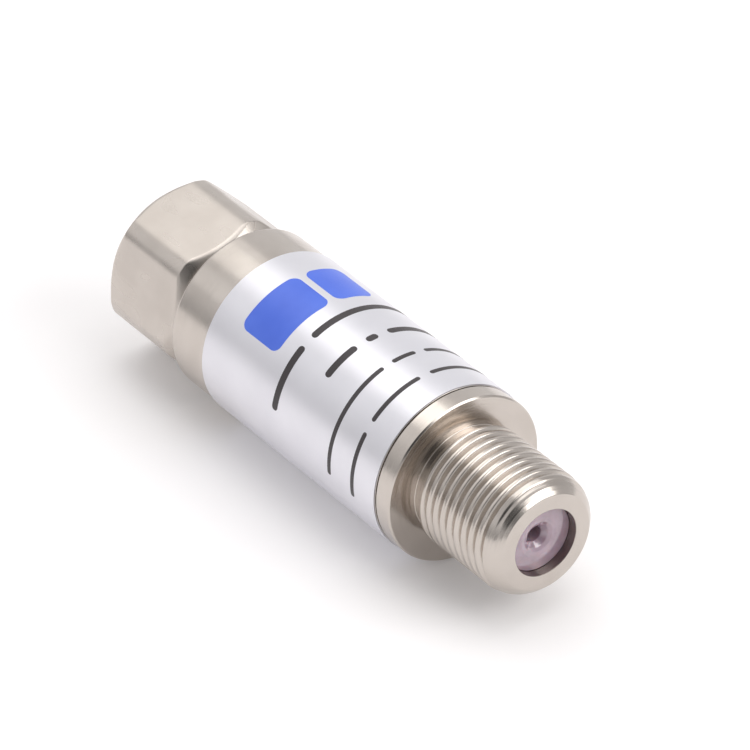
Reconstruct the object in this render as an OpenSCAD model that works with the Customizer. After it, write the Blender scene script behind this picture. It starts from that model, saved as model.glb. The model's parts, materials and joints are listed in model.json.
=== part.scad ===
// In-line coax lightning arrestor: a captive nut plug at one end and a threaded port at the other.
// The axis lies along X with the port towards +X, and the origin is on the axis at half the length.

/* [Barrel] */
// Outside diameter of the barrel and of the flange that closes it
barrel_diameter = 13.0; // [12.4:0.1:16]
// Length of the barrel from its front face to the flange
barrel_length = 24.8; // [21:0.1:34]
// Wall of the barrel round its chamber
barrel_wall = 1.1; // [0.8:0.05:1.4]
// Wall that closes the barrel at the nut end
end_wall = 1.8; // [1.2:0.1:3]
// Chamfer on the barrel's front edge
barrel_chamfer = 0.2; // [0.1:0.05:0.4]

/* [Label] */
// Length of the label that is wrapped round the barrel
label_length = 20.65; // [12:0.05:20.7]
// Thickness of the label
label_thickness = 0.1; // [0.05:0.01:0.2]
// Gap between the label's two ends, along its underside
label_seam = 1.2; // [0.2:0.1:3]

/* [Nose] */
// Diameter of the nose that the nut turns on
nose_diameter = 7.4; // [7:0.05:7.8]
// Length of the nose in front of the barrel
nose_length = 4.2; // [3.8:0.1:5.2]
// Diameter of the insulating bush inside the nose
bush_diameter = 5.0; // [4.4:0.1:5.4]
// Diameter of the opening in the nose's front lip
lip_opening = 4.0; // [3:0.1:4.2]
// Thickness of the nose's front lip
lip_thickness = 0.6; // [0.4:0.05:0.9]

/* [Coupling nut] */
// Length of the nut
nut_length = 8.3; // [7.4:0.1:10]
// Distance across the nut's flats
nut_across_flats = 11.75; // [11.3:0.05:12.6]
// Diameter of the lands turned on the nut's corners
nut_corner_diameter = 13.2; // [12.8:0.05:14]
// Diameter of the nut's end faces, where its corner chamfers start
nut_face_diameter = 11.3; // [10.4:0.1:11.6]
// Bore of the nut at the crests of its inner thread
nut_thread_bore = 8.7; // [8.5:0.05:8.9]
// Lead-in chamfer at the nut's mouth
nut_lead = 0.4; // [0.2:0.05:0.6]
// Thickness of the nut's rear wall
nut_rear_wall = 1.5; // [1.2:0.05:1.8]
// Gap between the nut and the barrel when the nut is pulled forward
nut_gap = 0.4; // [0.3:0.05:0.7]
// Turn of the nut's first corner from the top
nut_turn = 45; // [0:1:60]

/* [Retaining ring] */
// Thickness of the open spring ring along the axis
ring_thickness = 0.6; // [0.4:0.05:0.8]
// Opening of the spring ring
ring_opening = 2.4; // [1:0.1:4]

/* [Centre pin] */
// Diameter of the plug's centre pin
pin_diameter = 1.0; // [0.8:0.05:1.1]
// Diameter of the pin's root where it enters the bush
pin_root = 1.4; // [1.2:0.05:1.6]
// Distance from the pin's tip back to the nut's mouth
pin_setback = 0.3; // [0.1:0.1:1]
// Diameter of the pin's collar inside the bush
pin_collar = 2.0; // [1.8:0.1:2.6]

/* [Port] */
// Length of the port from the flange to its front face
port_length = 9.3; // [8.6:0.1:14]
// Thickness of the flange
flange_thickness = 1.5; // [1:0.1:2.5]
// Chamfer on the flange's front edge
flange_chamfer = 0.12; // [0.05:0.01:0.3]
// Outside diameter of the port's thread
thread_diameter = 9.4; // [9.2:0.05:9.6]
// Diameter of the relief between thread and flange
relief_diameter = 8.5; // [7.8:0.05:8.8]
// Width of the relief between thread and flange
relief_width = 0.5; // [0.3:0.05:1.2]
// Diameter of the port's flat front face
port_face_diameter = 7.5; // [7.2:0.1:8.6]
// Length of the rounded nose between front face and thread
port_round = 1.25; // [0.3:0.05:1.5]
// Step from the thread's crests down to the rounded nose
port_nose_step = 0.17; // [0.05:0.01:0.35]
// Bore of the port
port_bore = 5.2; // [4.6:0.1:5.6]
// Length of the spigot that is pressed into the barrel
spigot_length = 4.0; // [3.4:0.1:6]

/* [Port insulators] */
// Depth of the front insulator's face below the port's front face
insulator_recess = 0.75; // [0.3:0.05:1.2]
// Length of the front insulator
insulator_length = 4.0; // [3.2:0.1:4.4]
// Diameter of the funnel's mouth
funnel_mouth = 2.4; // [1.4:0.05:2.8]
// Depth of the funnel
funnel_depth = 0.6; // [0.3:0.05:1]
// Diameter of the hole behind the funnel
entry_hole = 1.2; // [1.15:0.01:1.35]
// Length of the rear bush inside the port's bore
rear_bush_length = 3.5; // [2.5:0.1:4]
// Diameter of the rear bush's flange
rear_flange = 7.4; // [6.4:0.1:8]
// Thickness of the rear bush's flange
rear_flange_thickness = 2.0; // [1.2:0.1:2.2]

/* [Socket contact] */
// Outside diameter of the split socket
contact_diameter = 2.0; // [1.8:0.05:2.3]
// Bore of the split socket
contact_bore = 1.1; // [1:0.02:1.14]
// Depth of the socket's bore
contact_depth = 5.0; // [4.2:0.1:5.4]
// Length of the slots that divide the socket into fingers
finger_length = 3.6; // [2:0.1:4]
// Width of the slots between the fingers
finger_slot = 0.3; // [0.15:0.05:0.45]

/* [Circuit board] */
// Thickness of the circuit board
board_thickness = 1.0; // [0.6:0.1:1.6]
// Length of the board's ears inside the spigot's slots
ear_length = 1.2; // [0.6:0.1:1.8]
// Diameter of the tails that are soldered to the board
tail_diameter = 0.8; // [0.6:0.05:0.9]
// Length of tail that lies over the board
tail_lap = 2.4; // [2.2:0.1:3.4]
// Radius of the solder mounds over the tails
solder_mound = 1.0; // [0.7:0.05:1.1]

/* [Gas discharge tube] */
// Length of the tube over its end caps
tube_length = 5.0; // [4:0.1:6]
// Width of the square end caps
cap_width = 3.0; // [2.4:0.1:3.2]
// Thickness of the end caps
cap_thickness = 0.6; // [0.4:0.05:1]
// Diameter of the ceramic body
ceramic_diameter = 2.8; // [2:0.1:3]

/* [Hidden] */
$fn = 96;

// Clearances
running_clearance = 0.05;
ring_room = 0.3;
ring_side_clearance = 0.05;
nut_stop_gap = 0.1;
label_margin = 0.1;
joint_chamfer = 0.08;
finger_clearance = 0.1;
board_clearance = 0.15;
slot_clearance = 0.05;
solder_film = 0.1;
board_end_gap = 0.6;
tube_side_gap = 0.6;

// Small fixed forms
nose_chamfer = 0.25;
nose_groove_depth = 0.6;
ring_catch = 0.2;
pin_tip_radius = 0.2;
pin_tip_length = 0.5;
tip_chamfer = 0.15;
socket_lead = 0.25;
socket_lead_width = 0.15;
entry_flare = 0.2;
contact_collar = 3.0;
contact_collar_thickness = 0.6;
spigot_chamfer = 0.2;
fillet_leg = 0.5;
round_start = 60;
round_steps = 5;
overlap = 1;

// Radii
barrel_r = barrel_diameter / 2;
bore_r = barrel_r - barrel_wall;
nose_r = nose_diameter / 2;
groove_r = nose_r - nose_groove_depth;
bush_r = bush_diameter / 2;
lip_r = lip_opening / 2;
pin_r = pin_diameter / 2;
pin_root_r = pin_root / 2;
pin_collar_r = pin_collar / 2;
nut_thread_r = nut_thread_bore / 2;
ring_outer_r = nut_thread_r + ring_catch;
ring_inner_r = groove_r + ring_catch;
nut_groove_r = ring_outer_r + ring_room;
thread_r = thread_diameter / 2;
relief_r = relief_diameter / 2;
port_face_r = port_face_diameter / 2;
port_nose_r = thread_r - port_nose_step;
port_bore_r = port_bore / 2;
rear_flange_r = rear_flange / 2;
contact_r = contact_diameter / 2;
contact_bore_r = contact_bore / 2;
tail_r = tail_diameter / 2;

// Stations along the axis, from the port to the nut
total_length = port_length + flange_thickness + barrel_length + nut_gap + nut_length;
port_face_x = total_length / 2;
flange_face_x = port_face_x - port_length;
flange_back_x = flange_face_x - flange_thickness;
barrel_face_x = flange_back_x - barrel_length;
nut_back_x = barrel_face_x - nut_gap;
nut_mouth_x = nut_back_x - nut_length;
label_end_x = flange_back_x - label_margin;
label_start_x = label_end_x - label_length;
chamber_end_x = barrel_face_x + end_wall;

// Stations of the nose, its ring and the pin
nose_face_x = barrel_face_x - nose_length;
lip_back_x = nose_face_x + lip_thickness;
nut_float = nut_gap - nut_stop_gap;
ring_back_x = nut_back_x - nut_rear_wall;
ring_front_x = ring_back_x - ring_thickness;
groove_front_x = ring_front_x - ring_side_clearance;
groove_back_x = ring_back_x + nut_float + ring_side_clearance;
pin_tip_x = nut_mouth_x + pin_setback;

// Stations inside the port
insulator_face_x = port_face_x - insulator_recess;
insulator_back_x = insulator_face_x - insulator_length;
pocket_x = insulator_back_x + insulator_length / 2;
contact_tip_x = pocket_x - finger_clearance;
contact_floor_x = contact_tip_x - contact_depth;
spigot_end_x = flange_back_x - spigot_length;
counterbore_x = spigot_end_x + rear_flange_thickness + contact_collar_thickness;
rear_bush_front_x = counterbore_x + rear_bush_length;
rear_bush_back_x = counterbore_x - rear_flange_thickness;

// Places on the circuit board
board_top_z = -tail_r - solder_film;
board_bottom_z = board_top_z - board_thickness;
board_half = sqrt(pow(bore_r - board_clearance, 2) - pow(board_bottom_z, 2));
board_start_x = chamber_end_x + board_end_gap;
board_end_x = spigot_end_x - slot_clearance;
pin_tail_x = board_start_x + tail_lap;
contact_tail_x = board_end_x - tail_lap;
tube_x = (board_start_x + board_end_x) / 2;
tube_y = tube_side_gap + cap_width / 2;
tube_z = board_top_z + cap_width / 2;

nickel = [0.80, 0.77, 0.73];

// Revolves a profile of [station, radius] points about the X axis.
module turned(profile) {
    rotate([0, 90, 0])
        rotate_extrude()
            polygon([for (point = profile) [point[1], point[0]]]);
}

// Points of the rounded nose from the port's front face to its thread.
function round_point(angle) = [
    port_face_x - port_round * (1 - cos(angle) / cos(round_start)),
    port_face_r + (port_nose_r - port_face_r) * (sin(angle) - sin(round_start)) / (1 - sin(round_start)),
];

// Shell with a closed end and the grooved nose that carries the nut.
module barrel() {
    color(nickel)
        turned([
            [flange_back_x, bore_r],
            [flange_back_x, barrel_r - joint_chamfer],
            [flange_back_x - joint_chamfer, barrel_r],
            [barrel_face_x + barrel_chamfer, barrel_r],
            [barrel_face_x, barrel_r - barrel_chamfer],
            [barrel_face_x, nose_r],
            [groove_back_x, nose_r],
            [groove_back_x, groove_r],
            [groove_front_x, groove_r],
            [groove_front_x, nose_r],
            [nose_face_x + nose_chamfer, nose_r],
            [nose_face_x, nose_r - nose_chamfer],
            [nose_face_x, lip_r],
            [lip_back_x, lip_r],
            [lip_back_x, bush_r],
            [chamber_end_x, bush_r],
            [chamber_end_x, bore_r],
        ]);
}

// Thin film wrapped round the barrel, short of the flange, with the seam of its ends at the bottom.
module label() {
    outer_r = barrel_r + label_thickness;
    color([0.88, 0.88, 0.92])
        difference() {
            turned([
                [label_start_x, barrel_r],
                [label_end_x, barrel_r],
                [label_end_x, outer_r],
                [label_start_x, outer_r],
            ]);
            translate([label_start_x - overlap, -label_seam / 2, -outer_r - overlap])
                cube([label_length + 2 * overlap, label_seam, outer_r + overlap]);
        }
}

// Stepped bush that fills the nose and holds the pin's collar.
module male_insulator() {
    color([0.92, 0.92, 0.88])
        turned([
            [nose_face_x, pin_root_r],
            [nose_face_x, lip_r],
            [lip_back_x, lip_r],
            [lip_back_x, bush_r],
            [chamber_end_x, bush_r],
            [chamber_end_x, pin_collar_r],
            [lip_back_x, pin_collar_r],
            [lip_back_x, pin_root_r],
        ]);
}

// Plug pin with a pointed tip, a root and a collar in the bush, and a tail over the board.
module centre_pin() {
    color([0.83, 0.70, 0.45])
        turned([
            [pin_tip_x, 0],
            [pin_tip_x, pin_tip_radius],
            [pin_tip_x + pin_tip_length, pin_r],
            [nose_face_x, pin_r],
            [nose_face_x, pin_root_r],
            [lip_back_x, pin_root_r],
            [lip_back_x, pin_collar_r],
            [chamber_end_x, pin_collar_r],
            [chamber_end_x, tail_r],
            [pin_tail_x, tail_r],
            [pin_tail_x, 0],
        ]);
}

// Outside of the nut: round lands on the corners and a chamfer at each end.
module nut_blank() {
    corner_r = nut_corner_diameter / 2;
    face_r = nut_face_diameter / 2;
    bevel = corner_r - face_r;
    intersection() {
        translate([nut_mouth_x, 0, 0])
            rotate([nut_turn, 0, 0])
                rotate([0, 90, 0])
                    cylinder(h = nut_length, r = nut_across_flats / sqrt(3), $fn = 6);
        turned([
            [nut_mouth_x, 0],
            [nut_mouth_x, face_r],
            [nut_mouth_x + bevel, corner_r],
            [nut_back_x - bevel, corner_r],
            [nut_back_x, face_r],
            [nut_back_x, 0],
        ]);
    }
}

// Hexagonal nut with a rear bore on the nose, a ring groove and the thread's bore.
module coupling_nut() {
    rear_bore_r = nose_r + running_clearance;
    color(nickel)
        difference() {
            nut_blank();
            turned([
                [nut_mouth_x - overlap, 0],
                [nut_mouth_x - overlap, nut_thread_r + nut_lead],
                [nut_mouth_x, nut_thread_r + nut_lead],
                [nut_mouth_x + nut_lead, nut_thread_r],
                [groove_front_x, nut_thread_r],
                [groove_front_x, nut_groove_r],
                [ring_back_x, nut_groove_r],
                [ring_back_x, rear_bore_r],
                [nut_back_x + overlap, rear_bore_r],
                [nut_back_x + overlap, 0],
            ]);
        }
}

// Open spring ring that sits in the nut and travels in the nose's groove.
module nut_retaining_ring() {
    color([0.72, 0.68, 0.60])
        difference() {
            turned([
                [ring_front_x, ring_inner_r],
                [ring_back_x, ring_inner_r],
                [ring_back_x, ring_outer_r],
                [ring_front_x, ring_outer_r],
            ]);
            translate([ring_front_x - overlap, -ring_opening / 2, 0])
                cube([ring_thickness + 2 * overlap, ring_opening, ring_outer_r + overlap]);
        }
}

// Flange, spigot and threaded port turned as one piece, with slots for the board's ears.
module port_body() {
    rounded_nose = [
        for (step = [0 : round_steps])
            round_point(round_start + (90 - round_start) * step / round_steps)
    ];
    slope = thread_r - relief_r;
    color(nickel)
        difference() {
            turned(concat(
                [[port_face_x, port_bore_r]],
                rounded_nose,
                [
                    [port_face_x - port_round - port_nose_step, thread_r],
                    [flange_face_x + relief_width + slope, thread_r],
                    [flange_face_x + relief_width, relief_r],
                    [flange_face_x, relief_r],
                    [flange_face_x, barrel_r - flange_chamfer],
                    [flange_face_x - flange_chamfer, barrel_r],
                    [flange_back_x + joint_chamfer, barrel_r],
                    [flange_back_x, barrel_r - joint_chamfer],
                    [flange_back_x, bore_r],
                    [spigot_end_x + spigot_chamfer, bore_r],
                    [spigot_end_x, bore_r - spigot_chamfer],
                    [spigot_end_x, rear_flange_r],
                    [counterbore_x, rear_flange_r],
                    [counterbore_x, port_bore_r],
                ]
            ));
            translate([spigot_end_x - overlap, -barrel_r, board_bottom_z - slot_clearance])
                cube([
                    ear_length + overlap + slot_clearance,
                    barrel_diameter,
                    board_thickness + 2 * slot_clearance,
                ]);
        }
}

// Plug in the port's mouth, with a funnel that guides a wire into the socket.
module port_front_insulator() {
    entry_r = entry_hole / 2;
    pocket_r = contact_r + finger_clearance;
    color([0.70, 0.60, 0.68])
        turned([
            [insulator_face_x, funnel_mouth / 2],
            [insulator_face_x, port_bore_r],
            [insulator_back_x, port_bore_r],
            [insulator_back_x, pocket_r],
            [pocket_x, pocket_r],
            [pocket_x, entry_r + entry_flare],
            [pocket_x + entry_flare, entry_r],
            [insulator_face_x - funnel_depth, entry_r],
        ]);
}

// Flanged bush that centres the socket in the port's bore.
module port_rear_insulator() {
    color([0.92, 0.92, 0.88])
        turned([
            [rear_bush_front_x, contact_r],
            [rear_bush_front_x, port_bore_r],
            [counterbore_x, port_bore_r],
            [counterbore_x, rear_flange_r],
            [rear_bush_back_x, rear_flange_r],
            [rear_bush_back_x, contact_r],
        ]);
}

// Socket with a countersunk mouth, spring fingers, a collar behind the rear bush and a tail over the board.
module port_contact() {
    collar_back_x = rear_bush_back_x - contact_collar_thickness;
    color([0.83, 0.70, 0.45])
        difference() {
            turned([
                [contact_tip_x - socket_lead, contact_bore_r],
                [contact_tip_x, contact_bore_r + socket_lead_width],
                [contact_tip_x, contact_r - tip_chamfer],
                [contact_tip_x - tip_chamfer, contact_r],
                [rear_bush_back_x, contact_r],
                [rear_bush_back_x, contact_collar / 2],
                [collar_back_x, contact_collar / 2],
                [collar_back_x, tail_r],
                [contact_tail_x, tail_r],
                [contact_tail_x, 0],
                [contact_floor_x, 0],
                [contact_floor_x, contact_bore_r],
            ]);
            for (turn = [0, 90])
                rotate([turn, 0, 0])
                    translate([contact_tip_x - finger_length, -contact_r - overlap, -finger_slot / 2])
                        cube([finger_length + overlap, contact_diameter + 2 * overlap, finger_slot]);
        }
}

// Board across the chamber, with two ears that slide into the spigot's slots.
module circuit_board() {
    ear_inner = rear_flange_r + slot_clearance;
    color([0.16, 0.42, 0.24])
        translate([0, 0, board_bottom_z]) {
            translate([board_start_x, -board_half, 0])
                cube([board_end_x - board_start_x, 2 * board_half, board_thickness]);
            for (side = [-1, 1])
                translate([board_end_x - overlap, side > 0 ? ear_inner : -board_half, 0])
                    cube([ear_length + overlap, board_half - ear_inner, board_thickness]);
        }
}

// Ceramic body of the gas discharge tube, along the board.
module gas_tube_ceramic() {
    body_length = tube_length - 2 * cap_thickness;
    color([0.93, 0.91, 0.88])
        translate([tube_x - body_length / 2, tube_y, tube_z])
            rotate([0, 90, 0])
                cylinder(h = body_length, d = ceramic_diameter);
}

// Square end caps of the gas discharge tube.
module gas_tube_caps() {
    color([0.75, 0.74, 0.72])
        for (end_x = [tube_x - tube_length / 2, tube_x + tube_length / 2 - cap_thickness])
            translate([end_x, tube_y - cap_width / 2, board_top_z])
                cube([cap_thickness, cap_width, cap_width]);
}

// Mound of solder on the board over the end of a tail.
module solder_over(mound_x) {
    difference() {
        translate([mound_x, 0, board_top_z])
            sphere(r = solder_mound);
        translate([mound_x - 2 * solder_mound, -2 * solder_mound, board_top_z - 4 * solder_mound])
            cube(4 * solder_mound);
        children();
    }
}

// Solder that joins the pin and the socket to the board.
module line_solder() {
    color([0.70, 0.70, 0.72]) {
        solder_over(pin_tail_x - tail_lap / 2)
            translate([pin_tail_x - tail_lap, 0, 0])
                rotate([0, 90, 0])
                    cylinder(h = tail_lap, r = tail_r);
        solder_over(contact_tail_x + tail_lap / 2)
            translate([contact_tail_x, 0, 0])
                rotate([0, 90, 0])
                    cylinder(h = tail_lap, r = tail_r);
    }
}

// Fillets of solder along the outer edges of the tube's caps.
module tube_solder() {
    color([0.70, 0.70, 0.72])
        for (side = [-1, 1])
            translate([tube_x + side * tube_length / 2, tube_y + cap_width / 2, board_top_z])
                rotate([90, 0, 0])
                    linear_extrude(height = cap_width)
                        polygon([[0, 0], [side * fillet_leg, 0], [0, fillet_leg]]);
}

barrel();
label();
male_insulator();
centre_pin();
coupling_nut();
nut_retaining_ring();
port_body();
port_front_insulator();
port_rear_insulator();
port_contact();
circuit_board();
gas_tube_ceramic();
gas_tube_caps();
line_solder();
tube_solder();
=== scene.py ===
import json
import math

import bpy
import numpy as np
from mathutils import Matrix, Vector


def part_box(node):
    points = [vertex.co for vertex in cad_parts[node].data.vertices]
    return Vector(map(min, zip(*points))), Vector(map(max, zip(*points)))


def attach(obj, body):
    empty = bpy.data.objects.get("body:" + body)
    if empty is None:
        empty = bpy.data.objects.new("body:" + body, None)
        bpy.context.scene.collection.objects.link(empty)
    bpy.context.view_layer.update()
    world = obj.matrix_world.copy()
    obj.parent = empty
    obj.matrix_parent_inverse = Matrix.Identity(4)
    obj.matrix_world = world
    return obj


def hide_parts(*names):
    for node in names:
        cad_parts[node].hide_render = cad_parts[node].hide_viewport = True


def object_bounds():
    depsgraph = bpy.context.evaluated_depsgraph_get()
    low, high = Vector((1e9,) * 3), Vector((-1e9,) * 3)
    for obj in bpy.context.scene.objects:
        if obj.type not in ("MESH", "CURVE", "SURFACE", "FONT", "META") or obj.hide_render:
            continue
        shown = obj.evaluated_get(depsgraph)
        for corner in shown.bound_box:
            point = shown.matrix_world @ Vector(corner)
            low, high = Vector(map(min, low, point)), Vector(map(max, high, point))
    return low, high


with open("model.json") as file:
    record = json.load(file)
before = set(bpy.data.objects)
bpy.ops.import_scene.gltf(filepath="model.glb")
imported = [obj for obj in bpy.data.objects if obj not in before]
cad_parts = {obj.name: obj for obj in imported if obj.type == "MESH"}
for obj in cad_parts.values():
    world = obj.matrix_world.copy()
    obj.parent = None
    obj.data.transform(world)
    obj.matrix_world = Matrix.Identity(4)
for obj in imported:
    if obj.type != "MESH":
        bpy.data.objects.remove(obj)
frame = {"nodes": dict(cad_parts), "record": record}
cad_low, cad_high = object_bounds()

# Lengths below are in millimetres in the part's own frame, and meshes are written in metres.
MM = 0.001
mounts = {mount["name"]: mount for mount in frame["record"]["mounts"]}


def span(node):
    """Lowest and highest station and the largest radius of a turned node, in millimetres."""
    low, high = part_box(node)
    return low.x / MM, high.x / MM, max(high.y, -low.y) / MM


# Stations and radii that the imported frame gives
spigot_end_x, port_face_x, barrel_r = span("port_body")
nose_face_x, flange_back_x, _ = span("barrel")
label_start_x, label_end_x, label_r = span("label")
nut_mouth_x, nut_back_x, nut_corner_r = span("coupling_nut")
ring_front_x, ring_back_x, _ = span("nut_retaining_ring")
insulator_back_x, insulator_face_x, port_bore_r = span("port_front_insulator")
_, chamber_end_x, bush_r = span("male_insulator")
pin_tip_x, pin_tail_x, pin_collar_r = span("centre_pin")
thread_r = mounts["port_thread"]["dims"]["r_mm"]
thread_length = mounts["port_thread"]["dims"]["length_mm"]
thread_mid_x = mounts["port_thread"]["pos_m"][0] / MM
entry_r = mounts["wire_entry"]["dims"]["r_mm"]
pin_r = mounts["plug_pin"]["dims"]["r_mm"]

# Barrel and nose
barrel_face_x = -13.45
barrel_bore_r = 5.4
barrel_chamfer = 0.2
rim_edge = 0.3
joint_half = 0.06
joint_depth = 0.30
joint_edge = 0.02
nose_root_edge = 0.08
nose_r = 3.7
groove_r = 3.1
groove_front_x = ring_front_x - 0.05
groove_back_x = ring_back_x + 0.35
nose_chamfer = 0.25
lip_r = 2.0
lip_back_x = nose_face_x + 0.6
pin_root_r = 0.7
pin_tip_r = 0.2
pin_tip_edge = 0.12
pin_taper = 0.5
pin_taper_edge = 0.2
tail_r = 0.4

# Coupling nut
nut_flat_r = 5.875
nut_face_r = 5.65
nut_turn = 45.0
nut_edge = 0.12
nut_soft = 0.20
nut_inset = 0.005
nut_thread_r = 4.35
nut_lead = 0.4
nut_lead_edge = 0.06
nut_groove_r = 4.85
nut_rear_bore_r = 3.75
nut_thread_start = (0.1, 0.6)
nut_thread_end = (0.5, 0.1)

# Port
flange_face_x = 12.85
flange_chamfer = 0.12
relief_r = 4.25
relief_x = flange_face_x + 0.5
port_face_r = 3.75
port_round = 1.45
round_start = 60.0
round_steps = 6
nose_step = 0.08
nose_edge = 0.14
crest_edge = 0.2
runout_edge = 0.1
relief_edge = 0.08
flange_root_edge = 0.06
counterbore_r = 3.7
counterbore_x = spigot_end_x + 2.6
spigot_chamfer = 0.2

# Thread: 32 turns an inch, right-handed. Where the nose falls away below the crests, the groove's depth loses
# a share of that fall.
pitch = 25.4 / 32
groove_half = 0.265
groove_slope = 1.75
groove_soft = 0.022
root_soft = 0.035
first_groove_x = port_face_x - 0.77
plain_nose = 0.40
full_thread = 1.50
runout_soft = 0.1
nose_share = 0.6

# Insulator in the port's mouth, with its funnel as (depth below the face, radius, edge)
funnel_r = 1.2
funnel_mouth_r = funnel_r + 0.30
funnel_mouth_edge = 0.5
funnel = [
    (0.6, entry_r, 0.10),
    (0.44, entry_r + 0.13, 0.3),
    (0.22, funnel_r - 0.27, 0.3),
    (0.07, funnel_r, 0.3),
]
pocket_x = insulator_back_x + 2.0
pocket_r = 1.1
entry_lead = 0.2
entry_edge = 0.02

# Edge rounding of turned and plated metal, and of moulded plastic
metal_edge = 0.05
fine_edge = 0.03
plastic_edge = 0.06

# Label and its print
film_inset = 0.010
film_root = 0.001
film_corner = 0.05
seam_gap = 1.2
ink_height = 0.004
ink_root = 0.02
field_corner = 0.7
bar_corner_share = 0.45

# Longest steps along a profile, and points round a turn
thread_step = 0.036
nut_bevel_step = 0.03
nut_land_step = 0.45
nut_thread_step = 0.05
long_step = 2.0
port_columns = 200
barrel_columns = 200
insulator_columns = 128
bush_columns = 96
film_columns = 240
print_columns = 24

# Margins of the tests that find a profile's threaded or six-sided rows
face_margin = 0.02
crest_margin = 0.01
row_margin = 0.001


# Profiles and meshes

def rounded(corners, step=None, arc_steps=5):
    """Samples of a closed profile of (station, radius, edge) corners, as rows of station, radius and normal.

    Each corner becomes an arc of the given edge radius, as far as its two runs have room for it. Where step
    is given, straight runs are split so that none is longer than it says.
    """
    most_of_run = 0.45
    points = np.array([corner[:2] for corner in corners], float)
    edges = [corner[2] for corner in corners]
    count = len(points)
    nxt = np.roll(points, -1, axis=0)
    area = float(np.sum(points[:, 0] * nxt[:, 1] - nxt[:, 0] * points[:, 1]))
    turn = 1.0 if area > 0 else -1.0
    rows = []
    for k in range(count):
        before, here, after = points[k - 1], points[k], points[(k + 1) % count]
        into = (before - here) / np.linalg.norm(before - here)
        out = (after - here) / np.linalg.norm(after - here)
        half = math.acos(max(-1.0, min(1.0, float(into @ out)))) / 2
        reach = min(edges[k] / math.tan(half), most_of_run * np.linalg.norm(before - here),
                    most_of_run * np.linalg.norm(after - here))
        radius = reach * math.tan(half)
        centre = here + (into + out) / np.linalg.norm(into + out) * radius / math.sin(half)
        start, end = here + into * reach - centre, here + out * reach - centre
        normal_in = turn * np.array([-into[1], into[0]])
        normal_out = turn * np.array([out[1], -out[0]])
        for i in range(arc_steps + 1):
            share = i / arc_steps
            arm = start * (1 - share) + end * share
            arm *= radius / max(np.linalg.norm(arm), 1e-9)
            normal = normal_in * (1 - share) + normal_out * share
            normal /= np.linalg.norm(normal)
            rows.append([*(centre + arm), *normal])
    if step is None:
        return np.array(rows)
    filled = []
    for row, follow in zip(rows, rows[1:] + rows[:1]):
        row, follow = np.array(row), np.array(follow)
        parts = max(1, math.ceil(np.linalg.norm(follow[:2] - row[:2]) / step(row, follow)))
        filled += [row + (follow - row) * i / parts for i in range(parts)]
    return np.array(filled)


def around(count):
    """Evenly spaced angles round the axis, from the top towards -Y."""
    return np.linspace(0, 2 * np.pi, count, endpoint=False)


def surface(name, stations, radii, theta, normals, closed=True):
    """A mesh from a grid of stations and radii round the X axis. Rows of radius nought become one point."""
    rows, columns = radii.shape
    sine, cosine = np.sin(theta), np.cos(theta)
    index = np.zeros((rows, columns), int)
    points, directions = [], []
    for i in range(rows):
        if radii[i].max() < 1e-9:
            index[i] = len(points)
            points.append((stations[i, 0] * MM, 0, 0))
            directions.append((math.copysign(1, normals[i, 0, 0]), 0, 0))
            continue
        index[i] = np.arange(columns) + len(points)
        points += list(zip(stations[i] * MM, -radii[i] * sine * MM, radii[i] * cosine * MM))
        directions += [tuple(normal) for normal in normals[i]]
    faces = []
    for i in range(rows if closed else rows - 1):
        below, above = index[i], index[(i + 1) % rows]
        for j in range(columns):
            k = (j + 1) % columns
            corners = [below[j], above[j], above[k], below[k]]
            corners = [c for n, c in enumerate(corners) if c != corners[n - 1]]
            if len(corners) > 2:
                faces.append(corners)
    probe = max(range(len(faces)), key=lambda n: np.linalg.norm(face_normal(points, faces[n])))
    meant = np.mean([directions[c] for c in faces[probe]], axis=0)
    if face_normal(points, faces[probe]) @ meant < 0:
        faces = [face[::-1] for face in faces]
    mesh = bpy.data.meshes.new(name)
    mesh.from_pydata([tuple(map(float, p)) for p in points], [], [[int(c) for c in face] for face in faces])
    mesh.shade_smooth()
    mesh.normals_split_custom_set_from_vertices([tuple(map(float, d)) for d in directions])
    mesh.validate()
    piece = bpy.data.objects.new(name, mesh)
    bpy.context.scene.collection.objects.link(piece)
    return piece


def face_normal(points, face):
    """Normal of a face's first corner, as long as the face is large."""
    corners = [np.array(points[c], float) for c in face]
    return np.cross(corners[1] - corners[0], corners[2] - corners[0])


def swept(profile, theta):
    """Grids of stations, radii and normals of a profile turned round the axis."""
    stations = np.repeat(profile[:, 0:1], len(theta), axis=1)
    radii = np.repeat(profile[:, 1:2], len(theta), axis=1)
    normals = np.stack([
        np.repeat(profile[:, 2:3], len(theta), axis=1),
        -profile[:, 3:4] * np.sin(theta),
        profile[:, 3:4] * np.cos(theta),
    ], axis=-1)
    return stations, radii, normals


def bent_normals(stations, radii, theta, normals, rows):
    """Replaces the normals of the given rows by those of the grid as it was shaped."""
    place = np.stack([stations, -radii * np.sin(theta), radii * np.cos(theta)], axis=-1)
    along = np.roll(place, -1, axis=0) - np.roll(place, 1, axis=0)
    across = np.roll(place, -1, axis=1) - np.roll(place, 1, axis=1)
    found = np.cross(along, across)
    found /= np.maximum(np.linalg.norm(found, axis=-1, keepdims=True), 1e-12)
    facing = np.sign(np.sum(found * normals, axis=-1, keepdims=True))
    shaped = normals.copy()
    shaped[rows] = (found * np.where(facing == 0, 1, facing))[rows]
    return shaped


def turned(name, corners, columns=160, arc_steps=5):
    """A plain turned piece from its profile's corners."""
    theta = around(columns)
    stations, radii, normals = swept(rounded(corners, arc_steps=arc_steps), theta)
    return surface(name, stations, radii, theta, normals)


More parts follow.
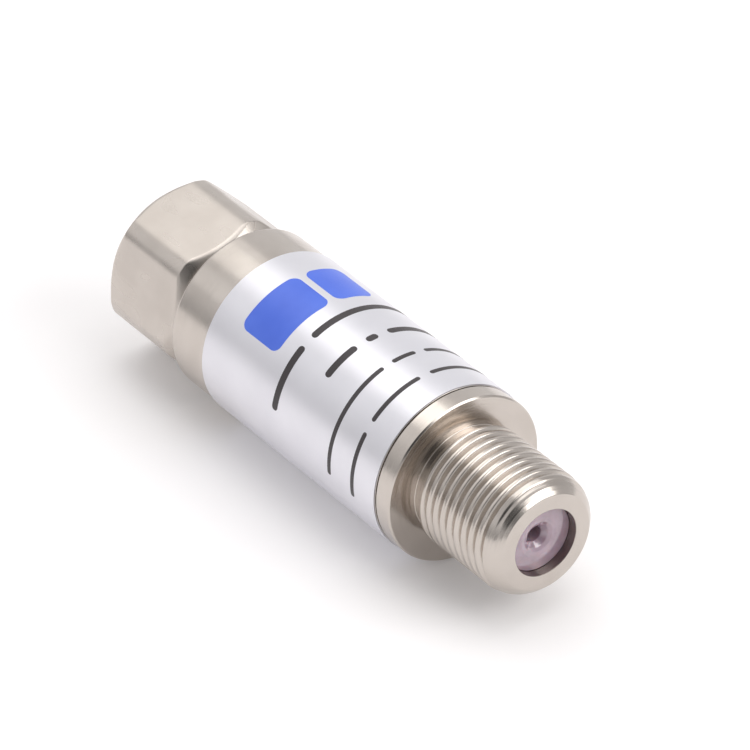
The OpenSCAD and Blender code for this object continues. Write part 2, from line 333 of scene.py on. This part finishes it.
def spindle(name, corners, columns=96):
    """A turned piece whose profile starts and ends on the axis."""
    theta = around(columns)
    mirrored = corners + [(x, -r, edge) for x, r, edge in reversed(corners)]
    rows = rounded(mirrored)
    rows = rows[rows[:, 1] > 1e-6]
    first_x, last_x = corners[0][0], corners[-1][0]
    outward = math.copysign(1, first_x - last_x)
    rows = np.vstack([[first_x, 0, outward, 0], rows, [last_x, 0, -outward, 0]])
    stations, radii, normals = swept(rows, theta)
    return surface(name, stations, radii, theta, normals, closed=False)


def smooth_step(low, high, value):
    """Rises from nought at low to one at high, level at both ends."""
    share = np.clip((value - low) / (high - low), 0, 1)
    return share * share * (3 - 2 * share)


def groove_depth(station, theta, start_x):
    """Depth of a right-hand thread's groove at a station and an angle round the axis."""
    turns = (station - start_x) / pitch - theta / (2 * np.pi)
    off = (turns - np.round(turns)) * pitch
    wall = groove_slope * (groove_half - np.sqrt(off * off + root_soft * root_soft))
    return groove_soft * np.logaddexp(0, wall / groove_soft)


def soft_min(first, second, width):
    """The smaller of two lengths, with the edge between them rounded over the given width."""
    share = np.maximum(width - np.abs(first - second), 0) / width
    return np.minimum(first, second) - share * share * width / 4


# Pieces

def make_port():
    """Flange, spigot and port in one, with the turns of the thread cut into its outside."""
    crest_end_x = thread_mid_x - thread_length / 2
    low = math.radians(round_start)
    rise = thread_r - nose_step - port_face_r
    nose = []
    for part in range(round_steps + 1):
        angle = math.radians(round_start + (90 - round_start) * part / round_steps)
        x = port_face_x - port_round * (1 - math.cos(angle) / math.cos(low))
        r = port_face_r + rise * (math.sin(angle) - math.sin(low)) / (1 - math.sin(low))
        nose.append((x, r, nose_edge))
    corners = [(port_face_x, port_bore_r, metal_edge)] + nose + [
        (port_face_x - port_round - 2 * nose_step, thread_r, crest_edge),
        (crest_end_x, thread_r, runout_edge),
        (relief_x, relief_r, relief_edge),
        (flange_face_x, relief_r, flange_root_edge),
        (flange_face_x, barrel_r - flange_chamfer, fine_edge),
        (flange_face_x - flange_chamfer, barrel_r, fine_edge),
        (flange_back_x + joint_half, barrel_r, fine_edge),
        (flange_back_x + joint_half, barrel_r - joint_depth, joint_edge),
        (flange_back_x, barrel_r - joint_depth, joint_edge),
        (flange_back_x, barrel_bore_r, fine_edge),
        (spigot_end_x + spigot_chamfer, barrel_bore_r, fine_edge),
        (spigot_end_x, barrel_bore_r - spigot_chamfer, fine_edge),
        (spigot_end_x, counterbore_r, fine_edge),
        (counterbore_x, counterbore_r, fine_edge),
        (counterbore_x, port_bore_r, fine_edge),
    ]

    def threaded(row):
        along = flange_face_x < row[0] < port_face_x - face_margin
        return along and port_face_r < row[1] < thread_r + crest_margin

    def step(row, follow):
        return thread_step if threaded(row) and threaded(follow) and row[0] > relief_x else long_step

    theta = around(port_columns)
    profile = rounded(corners, step)
    stations, radii, normals = swept(profile, theta)
    rows = np.array([threaded(row) for row in profile])
    below_crest = thread_r - radii
    reach = smooth_step(plain_nose, full_thread, port_face_x - stations)
    reach *= smooth_step(relief_x - runout_soft, crest_end_x + runout_soft, stations)
    depth = np.maximum(groove_depth(stations, theta, first_groove_x) - nose_share * below_crest, 0)
    radii = radii - depth * reach * rows[:, None]
    normals = bent_normals(stations, radii, theta, normals, rows)
    return surface("port_shell", stations, radii, theta, normals)


def make_nut():
    """Hexagonal nut with turned corner lands, chamfered ends and the turns of its inner thread."""
    land_r = nut_corner_r - nut_inset
    bevel = land_r - nut_face_r
    corners = [
        (nut_mouth_x, nut_thread_r + nut_lead, metal_edge),
        (nut_mouth_x, nut_face_r, metal_edge),
        (nut_mouth_x + bevel, land_r, nut_edge),
        (nut_back_x - bevel, land_r, nut_edge),
        (nut_back_x, nut_face_r, nut_edge),
        (nut_back_x, nut_rear_bore_r, metal_edge),
        (ring_back_x, nut_rear_bore_r, fine_edge),
        (ring_back_x, nut_groove_r, fine_edge),
        (groove_front_x, nut_groove_r, fine_edge),
        (groove_front_x, nut_thread_r, metal_edge),
        (nut_mouth_x + nut_lead, nut_thread_r, nut_lead_edge),
    ]

    def outer(row):
        return row[1] > nut_face_r - row_margin

    def inner(row):
        return row[1] < nut_thread_r + nut_lead + row_margin and nut_mouth_x < row[0] < groove_front_x

    def step(row, follow):
        if outer(row) and outer(follow):
            sloped = abs(follow[1] - row[1]) > 1e-6
            return nut_bevel_step if sloped else nut_land_step
        return nut_thread_step if inner(row) and inner(follow) else long_step

    # Angles from a corner to just before the next flat's middle, closest where a land meets a flat
    from_corner = [0.8, 1.6, 2.1, 2.5, 2.8, 3.1, 3.4, 3.8, 4.2, 4.7, 5.3, 6, 6.8, 7.8, 9, 10.5, 12.5, 15, 18,
                   21, 24, 27]
    sector = np.array([-30] + [-angle for angle in reversed(from_corner)] + [0] + from_corner)
    theta = np.radians(np.concatenate([nut_turn + 60 * k + sector for k in range(6)]))
    from_flat = np.radians(np.abs(np.concatenate([30 - np.abs(sector)] * 6)))
    flat = nut_flat_r / np.cos(from_flat)
    profile = rounded(corners, step)
    stations, radii, normals = swept(profile, theta)
    outer_rows = np.array([outer(row) for row in profile])
    six_sided = soft_min(radii, np.broadcast_to(flat, radii.shape), nut_soft)
    radii = np.where(outer_rows[:, None], six_sided, radii)
    inner_rows = np.array([inner(row) for row in profile])
    reach = smooth_step(nut_mouth_x + nut_thread_start[0], nut_mouth_x + nut_thread_start[1], stations)
    reach *= 1 - smooth_step(groove_front_x - nut_thread_end[0], groove_front_x - nut_thread_end[1], stations)
    radii = radii + reach * groove_depth(stations, theta, nut_mouth_x) * inner_rows[:, None]
    normals = bent_normals(stations, radii, theta, normals, outer_rows | inner_rows)
    return surface("nut_shell", stations, radii, theta, normals)


def make_barrel():
    """Tube with the nose that carries the nut, and half of the joint line beside the flange."""
    return turned("barrel_shell", [
        (flange_back_x, barrel_bore_r, fine_edge),
        (flange_back_x, barrel_r - joint_depth, joint_edge),
        (flange_back_x - joint_half, barrel_r - joint_depth, joint_edge),
        (flange_back_x - joint_half, barrel_r, fine_edge),
        (barrel_face_x + barrel_chamfer, barrel_r, rim_edge),
        (barrel_face_x, barrel_r - barrel_chamfer, rim_edge),
        (barrel_face_x, nose_r, nose_root_edge),
        (groove_back_x, nose_r, fine_edge),
        (groove_back_x, groove_r, fine_edge),
        (groove_front_x, groove_r, fine_edge),
        (groove_front_x, nose_r, fine_edge),
        (nose_face_x + nose_chamfer, nose_r, metal_edge),
        (nose_face_x, nose_r - nose_chamfer, metal_edge),
        (nose_face_x, lip_r, metal_edge),
        (lip_back_x, lip_r, fine_edge),
        (lip_back_x, bush_r, fine_edge),
        (chamber_end_x, bush_r, fine_edge),
        (chamber_end_x, barrel_bore_r, fine_edge),
    ], columns=barrel_columns)


def make_front_insulator():
    """Plug in the port's mouth, with the funnel that leads a wire into the socket behind it."""
    return turned("front_insulator_plug", [
        (insulator_face_x, funnel_mouth_r, funnel_mouth_edge),
        (insulator_face_x, port_bore_r, plastic_edge),
        (insulator_back_x, port_bore_r, plastic_edge),
        (insulator_back_x, pocket_r, plastic_edge),
        (pocket_x, pocket_r, plastic_edge),
        (pocket_x, entry_r + entry_lead, entry_edge),
        (pocket_x + entry_lead, entry_r, entry_edge),
        *[(insulator_face_x - depth, radius, edge) for depth, radius, edge in funnel],
    ], columns=insulator_columns, arc_steps=7)


def make_male_insulator():
    """Bush that centres the pin in the barrel's nose."""
    return turned("nose_insulator_bush", [
        (nose_face_x, pin_root_r, plastic_edge),
        (nose_face_x, lip_r, plastic_edge),
        (lip_back_x, lip_r, plastic_edge),
        (lip_back_x, bush_r, plastic_edge),
        (chamber_end_x, bush_r, plastic_edge),
        (chamber_end_x, pin_collar_r, plastic_edge),
        (lip_back_x, pin_collar_r, plastic_edge),
        (lip_back_x, pin_root_r, plastic_edge),
    ], columns=bush_columns)


def make_pin():
    """Pin of the plug end, with its collar in the bush and a thin tail behind it."""
    return spindle("plug_pin_turned", [
        (pin_tip_x, pin_tip_r, pin_tip_edge),
        (pin_tip_x + pin_taper, pin_r, pin_taper_edge),
        (nose_face_x, pin_r, fine_edge),
        (nose_face_x, pin_root_r, fine_edge),
        (lip_back_x, pin_root_r, fine_edge),
        (lip_back_x, pin_collar_r, fine_edge),
        (chamber_end_x, pin_collar_r, fine_edge),
        (chamber_end_x, tail_r, fine_edge),
        (pin_tail_x, tail_r, fine_edge),
    ])


def sheet_patch(name, x0, x1, a0, a1, inner_r, outer_r, corner, columns):
    """A closed thin patch on the barrel between two stations and two angles, with rounded corners."""
    middle, half = (x0 + x1) / 2, (x1 - x0) / 2
    low, high = math.radians(a0), math.radians(a1)
    bend = corner / outer_r
    turn_in = np.linspace(0, math.pi / 2, 9)
    ends = bend * (1 - np.cos(turn_in))
    between = np.linspace(low + bend, high - bend, columns)[1:-1]
    angles = np.concatenate([low + ends, between, (high - ends)[::-1]])
    off = np.minimum(angles - low, high - angles)
    inside = np.clip(bend - off, 0, bend) / bend
    widths = half - corner + corner * np.sqrt(np.maximum(1 - inside * inside, 0))
    points = []
    for angle, width in zip(angles, widths):
        out = Vector((0, -math.sin(angle), math.cos(angle)))
        for side, radius in ((-1, inner_r), (-1, outer_r), (1, outer_r), (1, inner_r)):
            points.append(Vector(((middle + side * width) * MM, 0, 0)) + out * radius * MM)
    faces = []
    last = len(angles) - 1
    for i in range(last):
        for side in range(4):
            other = (side + 1) % 4
            faces.append((4 * i + side, 4 * i + other, 4 * i + 4 + other, 4 * i + 4 + side))
    faces += [(0, 3, 2, 1), (4 * last, 4 * last + 1, 4 * last + 2, 4 * last + 3)]
    mesh = bpy.data.meshes.new(name)
    mesh.from_pydata(points, [], faces)
    mesh.shade_smooth()
    mesh.set_sharp_from_angle(angle=math.radians(40))
    mesh.validate()
    piece = bpy.data.objects.new(name, mesh)
    bpy.context.scene.collection.objects.link(piece)
    return piece


def make_label():
    """The film, wrapped round the barrel with its two ends close together underneath."""
    seam_half = math.degrees(seam_gap / 2 / label_r)
    return sheet_patch("label_film", label_start_x, label_end_x, 180 + seam_half - 360, 180 - seam_half,
                       barrel_r - film_root, label_r - film_inset, film_corner, film_columns)


# Fields of colour and rows of plain bars on the label: station of the middle, width along the axis, and the
# two angles of each field or bar, counted upwards from the line that faces the camera. view_turn is that
# line's angle from the top.
view_turn = 40.7
blue_rows = [(-4.45, 4.3, [(-10, 38), (43, 72)])]
dark_rows = [
    (-0.62, 0.62, [(-41, 4), (12, 92)]),
    (2.82, 0.62, [(-2, 24), (32, 40), (48, 92)]),
    (6.0, 0.40, [(-56, 24), (31, 48), (55, 98)]),
    (8.7, 0.40, [(-59, -14), (-6, 34), (42, 98)]),
]


def make_print(name, rows, corner):
    """The printed patches of some rows. corner gives the radius of a patch's corners from its row's width."""
    inner, outer = label_r - film_inset - ink_root, label_r - film_inset + ink_height
    spots = [(x, width, a0, a1) for x, width, angles in rows for a0, a1 in angles]
    return [
        sheet_patch(f"{name}_{number}", x - width / 2, x + width / 2, view_turn - a1, view_turn - a0,
                    inner, outer, corner(width), print_columns)
        for number, (x, width, a0, a1) in enumerate(spots)
    ]


# Materials, with the heights of their fine relief in metres

mark_height = 0.000004
moulded_height = 0.000003
film_height = 0.000002


def material(name, **sockets):
    """A material with its principled shader's sockets set, and the nodes to add detail with."""
    made = bpy.data.materials.new(name)
    made.use_nodes = True
    nodes, links = made.node_tree.nodes, made.node_tree.links
    shader = nodes["Principled BSDF"]
    for socket, value in sockets.items():
        shader.inputs[socket.replace("_", " ")].default_value = value
    return made, nodes, links, shader


def from_axis(nodes, links):
    """Distance of a place from the part's axis, in metres."""
    coordinates = nodes.new("ShaderNodeTexCoord")
    across = nodes.new("ShaderNodeVectorMath")
    across.operation = "MULTIPLY"
    across.inputs[1].default_value = (0, 1, 1)
    links.new(coordinates.outputs["Object"], across.inputs[0])
    length = nodes.new("ShaderNodeVectorMath")
    length.operation = "LENGTH"
    links.new(across.outputs["Vector"], length.inputs[0])
    return length.outputs["Value"]


def grain(nodes, links, scales, round_marks):
    """Object coordinates in which a fine pattern runs round the axis, or along it, as tool marks do."""
    coordinates = nodes.new("ShaderNodeTexCoord")
    split = nodes.new("ShaderNodeSeparateXYZ")
    links.new(coordinates.outputs["Object"], split.inputs[0])
    join = nodes.new("ShaderNodeCombineXYZ")
    second = from_axis(nodes, links) if round_marks else split.outputs["Y"]
    sources = (split.outputs["X"], second, split.outputs["Z"])
    for place, (source, scale) in enumerate(zip(sources, scales)):
        times = nodes.new("ShaderNodeMath")
        times.operation = "MULTIPLY"
        times.inputs[1].default_value = scale
        links.new(source, times.inputs[0])
        links.new(times.outputs[0], join.inputs[place])
    return join.outputs[0]


def noise(nodes, links, vector, detail):
    """A noise pattern in the given coordinates, which set its scale."""
    texture = nodes.new("ShaderNodeTexNoise")
    texture.inputs["Scale"].default_value = 1.0
    texture.inputs["Detail"].default_value = detail
    links.new(vector, texture.inputs["Vector"])
    return texture.outputs["Fac"]


def spread(nodes, links, factor, low, high, into):
    """Maps a pattern onto a range of values for a shader's socket."""
    mapped = nodes.new("ShaderNodeMapRange")
    mapped.inputs["From Min"].default_value = 0.3
    mapped.inputs["From Max"].default_value = 0.7
    mapped.inputs["To Min"].default_value = low
    mapped.inputs["To Max"].default_value = high
    links.new(factor, mapped.inputs["Value"])
    links.new(mapped.outputs["Result"], into)


def two_tone(nodes, links, factor, first, second, into):
    """Turns a pattern into a soft change between two colours."""
    ramp = nodes.new("ShaderNodeValToRGB")
    ramp.color_ramp.elements[0].position = 0.35
    ramp.color_ramp.elements[0].color = (*first, 1)
    ramp.color_ramp.elements[1].position = 0.65
    ramp.color_ramp.elements[1].color = (*second, 1)
    links.new(factor, ramp.inputs["Fac"])
    links.new(ramp.outputs["Color"], into)


def bump(nodes, links, factor, distance, strength, shader):
    """Makes a pattern stand up from the surface by a distance in metres."""
    made = nodes.new("ShaderNodeBump")
    made.inputs["Strength"].default_value = strength
    made.inputs["Distance"].default_value = distance
    links.new(factor, made.inputs["Height"])
    links.new(made.outputs["Normal"], shader.inputs["Normal"])


def plated(name, first, second, rough, marks, round_marks, strength=0.25, detail=3.0, bore=None):
    """Plated metal with tool marks, a cloudy roughness and a faint change of tone.

    Where a radius and colour are given for the bore, the metal within that radius takes that darker colour:
    painted shade standing in for the shade that falls in a recessed bore.
    """
    made, nodes, links, shader = material(name, Metallic=1.0)
    lines = noise(nodes, links, grain(nodes, links, marks, round_marks), detail)
    clouds = noise(nodes, links, grain(nodes, links, (450, 450, 450), False), 4.0)
    if bore is None:
        two_tone(nodes, links, clouds, first, second, shader.inputs["Base Color"])
    else:
        # Painted shade: within the bore's radius the base colour fades to the dark shade colour.
        radius, painted_shade_colour = bore
        inside = nodes.new("ShaderNodeMapRange")
        inside.inputs["From Min"].default_value = radius * MM
        inside.inputs["From Max"].default_value = (radius + bore_shade_fade) * MM
        links.new(from_axis(nodes, links), inside.inputs["Value"])
        blend = nodes.new("ShaderNodeMix")
        blend.data_type = "RGBA"
        blend.inputs["A"].default_value = (*painted_shade_colour, 1)
        links.new(inside.outputs["Result"], blend.inputs["Factor"])
        two_tone(nodes, links, clouds, first, second, blend.inputs["B"])
        links.new(blend.outputs["Result"], shader.inputs["Base Color"])
    spread(nodes, links, lines, rough[0], rough[1], shader.inputs["Roughness"])
    bump(nodes, links, lines, mark_height, strength, shader)
    return made


def moulded(name, first, second, rough, **sockets):
    """Moulded plastic, ceramic or laminate with a cloudy tone and a fine uneven surface."""
    made, nodes, links, shader = material(name, **sockets)
    clouds = noise(nodes, links, grain(nodes, links, (700, 700, 700), False), 4.0)
    fine = noise(nodes, links, grain(nodes, links, (6000, 6000, 6000), False), 2.0)
    two_tone(nodes, links, clouds, first, second, shader.inputs["Base Color"])
    spread(nodes, links, fine, rough[0], rough[1], shader.inputs["Roughness"])
    bump(nodes, links, fine, moulded_height, 0.2, shader)
    return made


def film(name, first, second, rough, **sockets):
    """Printed film: a fine sparkle under a smooth face."""
    made, nodes, links, shader = material(name, **sockets)
    clouds = noise(nodes, links, grain(nodes, links, (260, 260, 260), False), 3.0)
    fine = noise(nodes, links, grain(nodes, links, (9000, 9000, 9000), False), 2.0)
    two_tone(nodes, links, clouds, first, second, shader.inputs["Base Color"])
    spread(nodes, links, fine, rough[0], rough[1], shader.inputs["Roughness"])
    bump(nodes, links, fine, film_height, 0.15, shader)
    return made


# Each finish has its two tones, its range of roughness and, for metal, the number of marks per metre: along
# X, Y and Z, or along the axis, outwards and along Z where they run round.
# Painted shade for the port's bore: within its radius the nickel is given a dark colour that stands in for
# the shade in that recess, fading to plain nickel over a short width.
bore_shade_margin = 0.01
bore_shade_fade = 0.05
bore_painted_shade = (0.24, 0.205, 0.19)
nickel_tones = ((0.55, 0.503, 0.46), (0.585, 0.538, 0.495))
nickel_rough = (0.16, 0.26)
turning_marks = (9000, 9000, 120)
turned_nickel = plated("turned_nickel", *nickel_tones, nickel_rough, turning_marks, True)
port_nickel = plated("port_nickel", *nickel_tones, nickel_rough, turning_marks, True,
                     bore=(port_bore_r + bore_shade_margin, bore_painted_shade))
nut_nickel = plated("drawn_nickel", (0.545, 0.498, 0.456), (0.58, 0.533, 0.49), (0.26, 0.34),
                    (350, 900, 900), False, strength=0.05, detail=0.0)
spring_bronze = plated("spring_bronze", (0.50, 0.43, 0.33), (0.58, 0.50, 0.39), (0.30, 0.42),
                       (6000, 6000, 200), True)
contact_brass = plated("contact_brass", (0.78, 0.58, 0.30), (0.84, 0.64, 0.35), (0.20, 0.32),
                       (9000, 9000, 160), True)
tinned_caps = plated("tinned_caps", (0.60, 0.59, 0.57), (0.68, 0.67, 0.65), (0.28, 0.40),
                     (3000, 3000, 3000), False)
bright_solder = plated("bright_solder", (0.56, 0.56, 0.58), (0.68, 0.68, 0.70), (0.15, 0.35),
                       (1800, 1800, 1800), False, strength=0.5)
lilac_plastic = moulded("lilac_plastic", (0.32, 0.225, 0.275), (0.42, 0.305, 0.37), (0.10, 0.18),
                        Coat_Weight=1.0, Coat_Roughness=0.05, Coat_IOR=1.8,
                        Subsurface_Weight=0.25, Subsurface_Scale=0.0006)
white_plastic = moulded("white_plastic", (0.78, 0.78, 0.72), (0.84, 0.84, 0.79), (0.35, 0.5),
                        Subsurface_Weight=0.15, Subsurface_Scale=0.0006)
board_green = moulded("board_green", (0.03, 0.16, 0.06), (0.05, 0.22, 0.09), (0.3, 0.45))
tube_ceramic = moulded("tube_ceramic", (0.80, 0.77, 0.72), (0.86, 0.84, 0.80), (0.5, 0.65))
silver_film = film("silver_film", (0.765, 0.76, 0.805), (0.80, 0.795, 0.84), (0.30, 0.38), Metallic=0.75)
blue_ink = film("blue_ink", (0.055, 0.14, 0.73), (0.075, 0.175, 0.80), (0.32, 0.42),
                Coat_Weight=0.15, Coat_Roughness=0.25)
dark_ink = film("dark_ink", (0.035, 0.028, 0.03), (0.05, 0.042, 0.045), (0.36, 0.46))


def dress(piece, finish, slot, body, *nodes):
    """Gives a piece its material, sets it on its body and lets it stand for its nodes. The slot argument is
    not used.
    """
    piece.data.materials.clear()
    piece.data.materials.append(finish)
    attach(piece, body)
    if nodes:
        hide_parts(*nodes)


dress(make_port(), port_nickel, "nickel", "shell", "port_body")
dress(make_barrel(), turned_nickel, "nickel", "shell", "barrel")
dress(make_nut(), nut_nickel, "nickel", "nut", "coupling_nut")
dress(make_front_insulator(), lilac_plastic, "lilac_plastic", "shell", "port_front_insulator")
dress(make_male_insulator(), white_plastic, "white_plastic", "shell", "male_insulator")
dress(make_pin(), contact_brass, "contact_metal", "shell", "centre_pin")
dress(make_label(), silver_film, "label_film", "shell", "label")
for patch in make_print("print_field", blue_rows, lambda width: field_corner):
    dress(patch, blue_ink, "label_film", "shell")
for patch in make_print("print_bar", dark_rows, lambda width: bar_corner_share * width):
    dress(patch, dark_ink, "label_film", "shell")

# Nodes whose own shape is shown
for node, finish in {
    "nut_retaining_ring": spring_bronze,
    "port_rear_insulator": white_plastic,
    "port_contact": contact_brass,
    "circuit_board": board_green,
    "gas_tube_ceramic": tube_ceramic,
    "gas_tube_caps": tinned_caps,
    "line_solder": bright_solder,
    "tube_solder": bright_solder,
}.items():
    carried = frame["nodes"][node]
    carried.data.materials.clear()
    carried.data.materials.append(finish)


# Floor

floor_z = cad_low.z
floor_half = 1.5
floor_lift = 0.10


def make_floor():
    """Pale matt floor under the part, lifted a little towards white where it is seen or mirrored."""
    mesh = bpy.data.meshes.new("floor")
    corners = [(x * floor_half, y * floor_half, floor_z) for x, y in ((-1, -1), (1, -1), (1, 1), (-1, 1))]
    mesh.from_pydata(corners, [], [(0, 1, 2, 3)])
    floor = bpy.data.objects.new("floor", mesh)
    bpy.context.scene.collection.objects.link(floor)
    made, nodes, links, shader = material("floor_white", Base_Color=(0.97, 0.955, 0.96, 1), Roughness=0.9)
    shader.inputs["Specular IOR Level"].default_value = 0.0
    path = nodes.new("ShaderNodeLightPath")
    seen = path.outputs["Is Camera Ray"]
    for ray in ("Is Glossy Ray", "Is Transmission Ray"):
        either = nodes.new("ShaderNodeMath")
        either.operation = "MAXIMUM"
        links.new(seen, either.inputs[0])
        links.new(path.outputs[ray], either.inputs[1])
        seen = either.outputs[0]
    lift = nodes.new("ShaderNodeMath")
    lift.operation = "MULTIPLY"
    lift.inputs[1].default_value = floor_lift
    links.new(seen, lift.inputs[0])
    shader.inputs["Emission Color"].default_value = (1, 1, 1, 1)
    links.new(lift.outputs[0], shader.inputs["Emission Strength"])
    mesh.materials.append(made)


make_floor()


# Light

def softbox(name, place, target, width, height, power, tint=(1, 1, 1)):
    """A rectangular soft light at a place, turned towards a target, in metres."""
    lamp = bpy.data.lights.new(name, "AREA")
    lamp.shape = "RECTANGLE"
    lamp.size, lamp.size_y = width, height
    lamp.energy = power
    lamp.color = tint
    box = bpy.data.objects.new(name, lamp)
    bpy.context.scene.collection.objects.link(box)
    box.location = Vector(place)
    box.rotation_euler = (Vector(target) - Vector(place)).to_track_quat("-Z", "Y").to_euler()


softbox("top_box", (-0.24, 0.03, 0.42), (0, 0, 0), 0.29, 0.56, 0.22, (1.0, 0.985, 0.965))
softbox("key_strip", (-0.112, -0.012, 0.155), (0.017, 0, 0), 0.11, 0.046, 0.020, (1.0, 0.985, 0.96))
softbox("window_box", (0.373, 0.179, 0.308), (0.022, 0, 0), 0.42, 0.21, 0.90, (1.0, 0.99, 0.975))
softbox("over_box", (-0.02, 0.10, 0.48), (0, 0, 0), 0.46, 0.46, 0.66, (1.0, 0.99, 0.98))
softbox("back_card", (-0.36, 0.34, 0.22), (0, 0, 0), 0.34, 0.40, 0.09)
softbox("front_box", (-0.33, -0.23, 0.30), (0, 0, 0), 0.13, 0.22, 0.03)

# The room's brightness, as (height along the room's tilted axis, level). It is darker towards the horizon on
# the left, and within a cone about one direction it fades to a small share of its light.
room_axis = (0.0, 0.35, 0.937)
room_levels = [(-0.25, 0.44), (-0.08, 0.60), (0.06, 0.78), (0.22, 0.76), (0.42, 0.67), (1.0, 0.54)]
room_green = 0.992
dim_axis = (0.6646, -0.4871, 0.5667)
dim_from, dim_full, dim_share = 0.89, 0.97, 0.10


def make_room():
    """The world round the part, a plain soft gradient."""
    made = bpy.data.worlds.new("studio")
    made.use_nodes = True
    nodes, links = made.node_tree.nodes, made.node_tree.links
    direction = nodes.new("ShaderNodeTexCoord").outputs["Generated"]

    def along(axis, low, high):
        """How far a direction leans towards an axis, mapped from the range low to high."""
        dot = nodes.new("ShaderNodeVectorMath")
        dot.operation = "DOT_PRODUCT"
        dot.inputs[1].default_value = axis
        links.new(direction, dot.inputs[0])
        mapped = nodes.new("ShaderNodeMapRange")
        mapped.inputs["From Min"].default_value = low
        mapped.inputs["From Max"].default_value = high
        links.new(dot.outputs["Value"], mapped.inputs["Value"])
        return mapped

    ramp = nodes.new("ShaderNodeValToRGB")
    stops = ramp.color_ramp.elements
    while len(stops) < len(room_levels):
        stops.new(0.5)
    for stop, (rise, level) in zip(stops, room_levels):
        stop.position = (rise + 1) / 2
        stop.color = (level, level * room_green, level, 1)
    links.new(along(room_axis, -1.0, 1.0).outputs["Result"], ramp.inputs["Fac"])
    links.new(ramp.outputs["Color"], nodes["Background"].inputs["Color"])
    dimmed = along(dim_axis, dim_from, dim_full)
    dimmed.interpolation_type = "SMOOTHSTEP"
    dimmed.inputs["To Min"].default_value = 1.0
    dimmed.inputs["To Max"].default_value = dim_share
    links.new(dimmed.outputs["Result"], nodes["Background"].inputs["Strength"])
    return made


bpy.context.scene.world = make_room()
bpy.context.scene.view_settings.view_transform = "Standard"


# Camera, at the photograph's viewing angle: where the part's middle lies from it, in millimetres

image_side = 750
focal_pixels = 6104.5
camera_turn = math.radians(53.76)
camera_rise = math.radians(34.519)
origin_right, origin_down, origin_away = -1.4355, 1.3326, 431.20

lens = bpy.data.cameras.new("view")
lens.sensor_width = 36
lens.lens = focal_pixels / image_side * lens.sensor_width
lens.clip_start = 0.01
camera = bpy.data.objects.new("view", lens)
bpy.context.scene.collection.objects.link(camera)
back = Vector((math.sin(camera_turn) * math.cos(camera_rise), -math.cos(camera_turn) * math.cos(camera_rise),
               math.sin(camera_rise)))
right = Vector((math.cos(camera_turn), math.sin(camera_turn), 0))
up = back.cross(right)
place = (back * origin_away - right * origin_right + up * origin_down) * MM
camera.matrix_world = Matrix.Translation(place) @ Matrix((right, up, back)).transposed().to_4x4()
bpy.context.scene.camera = camera
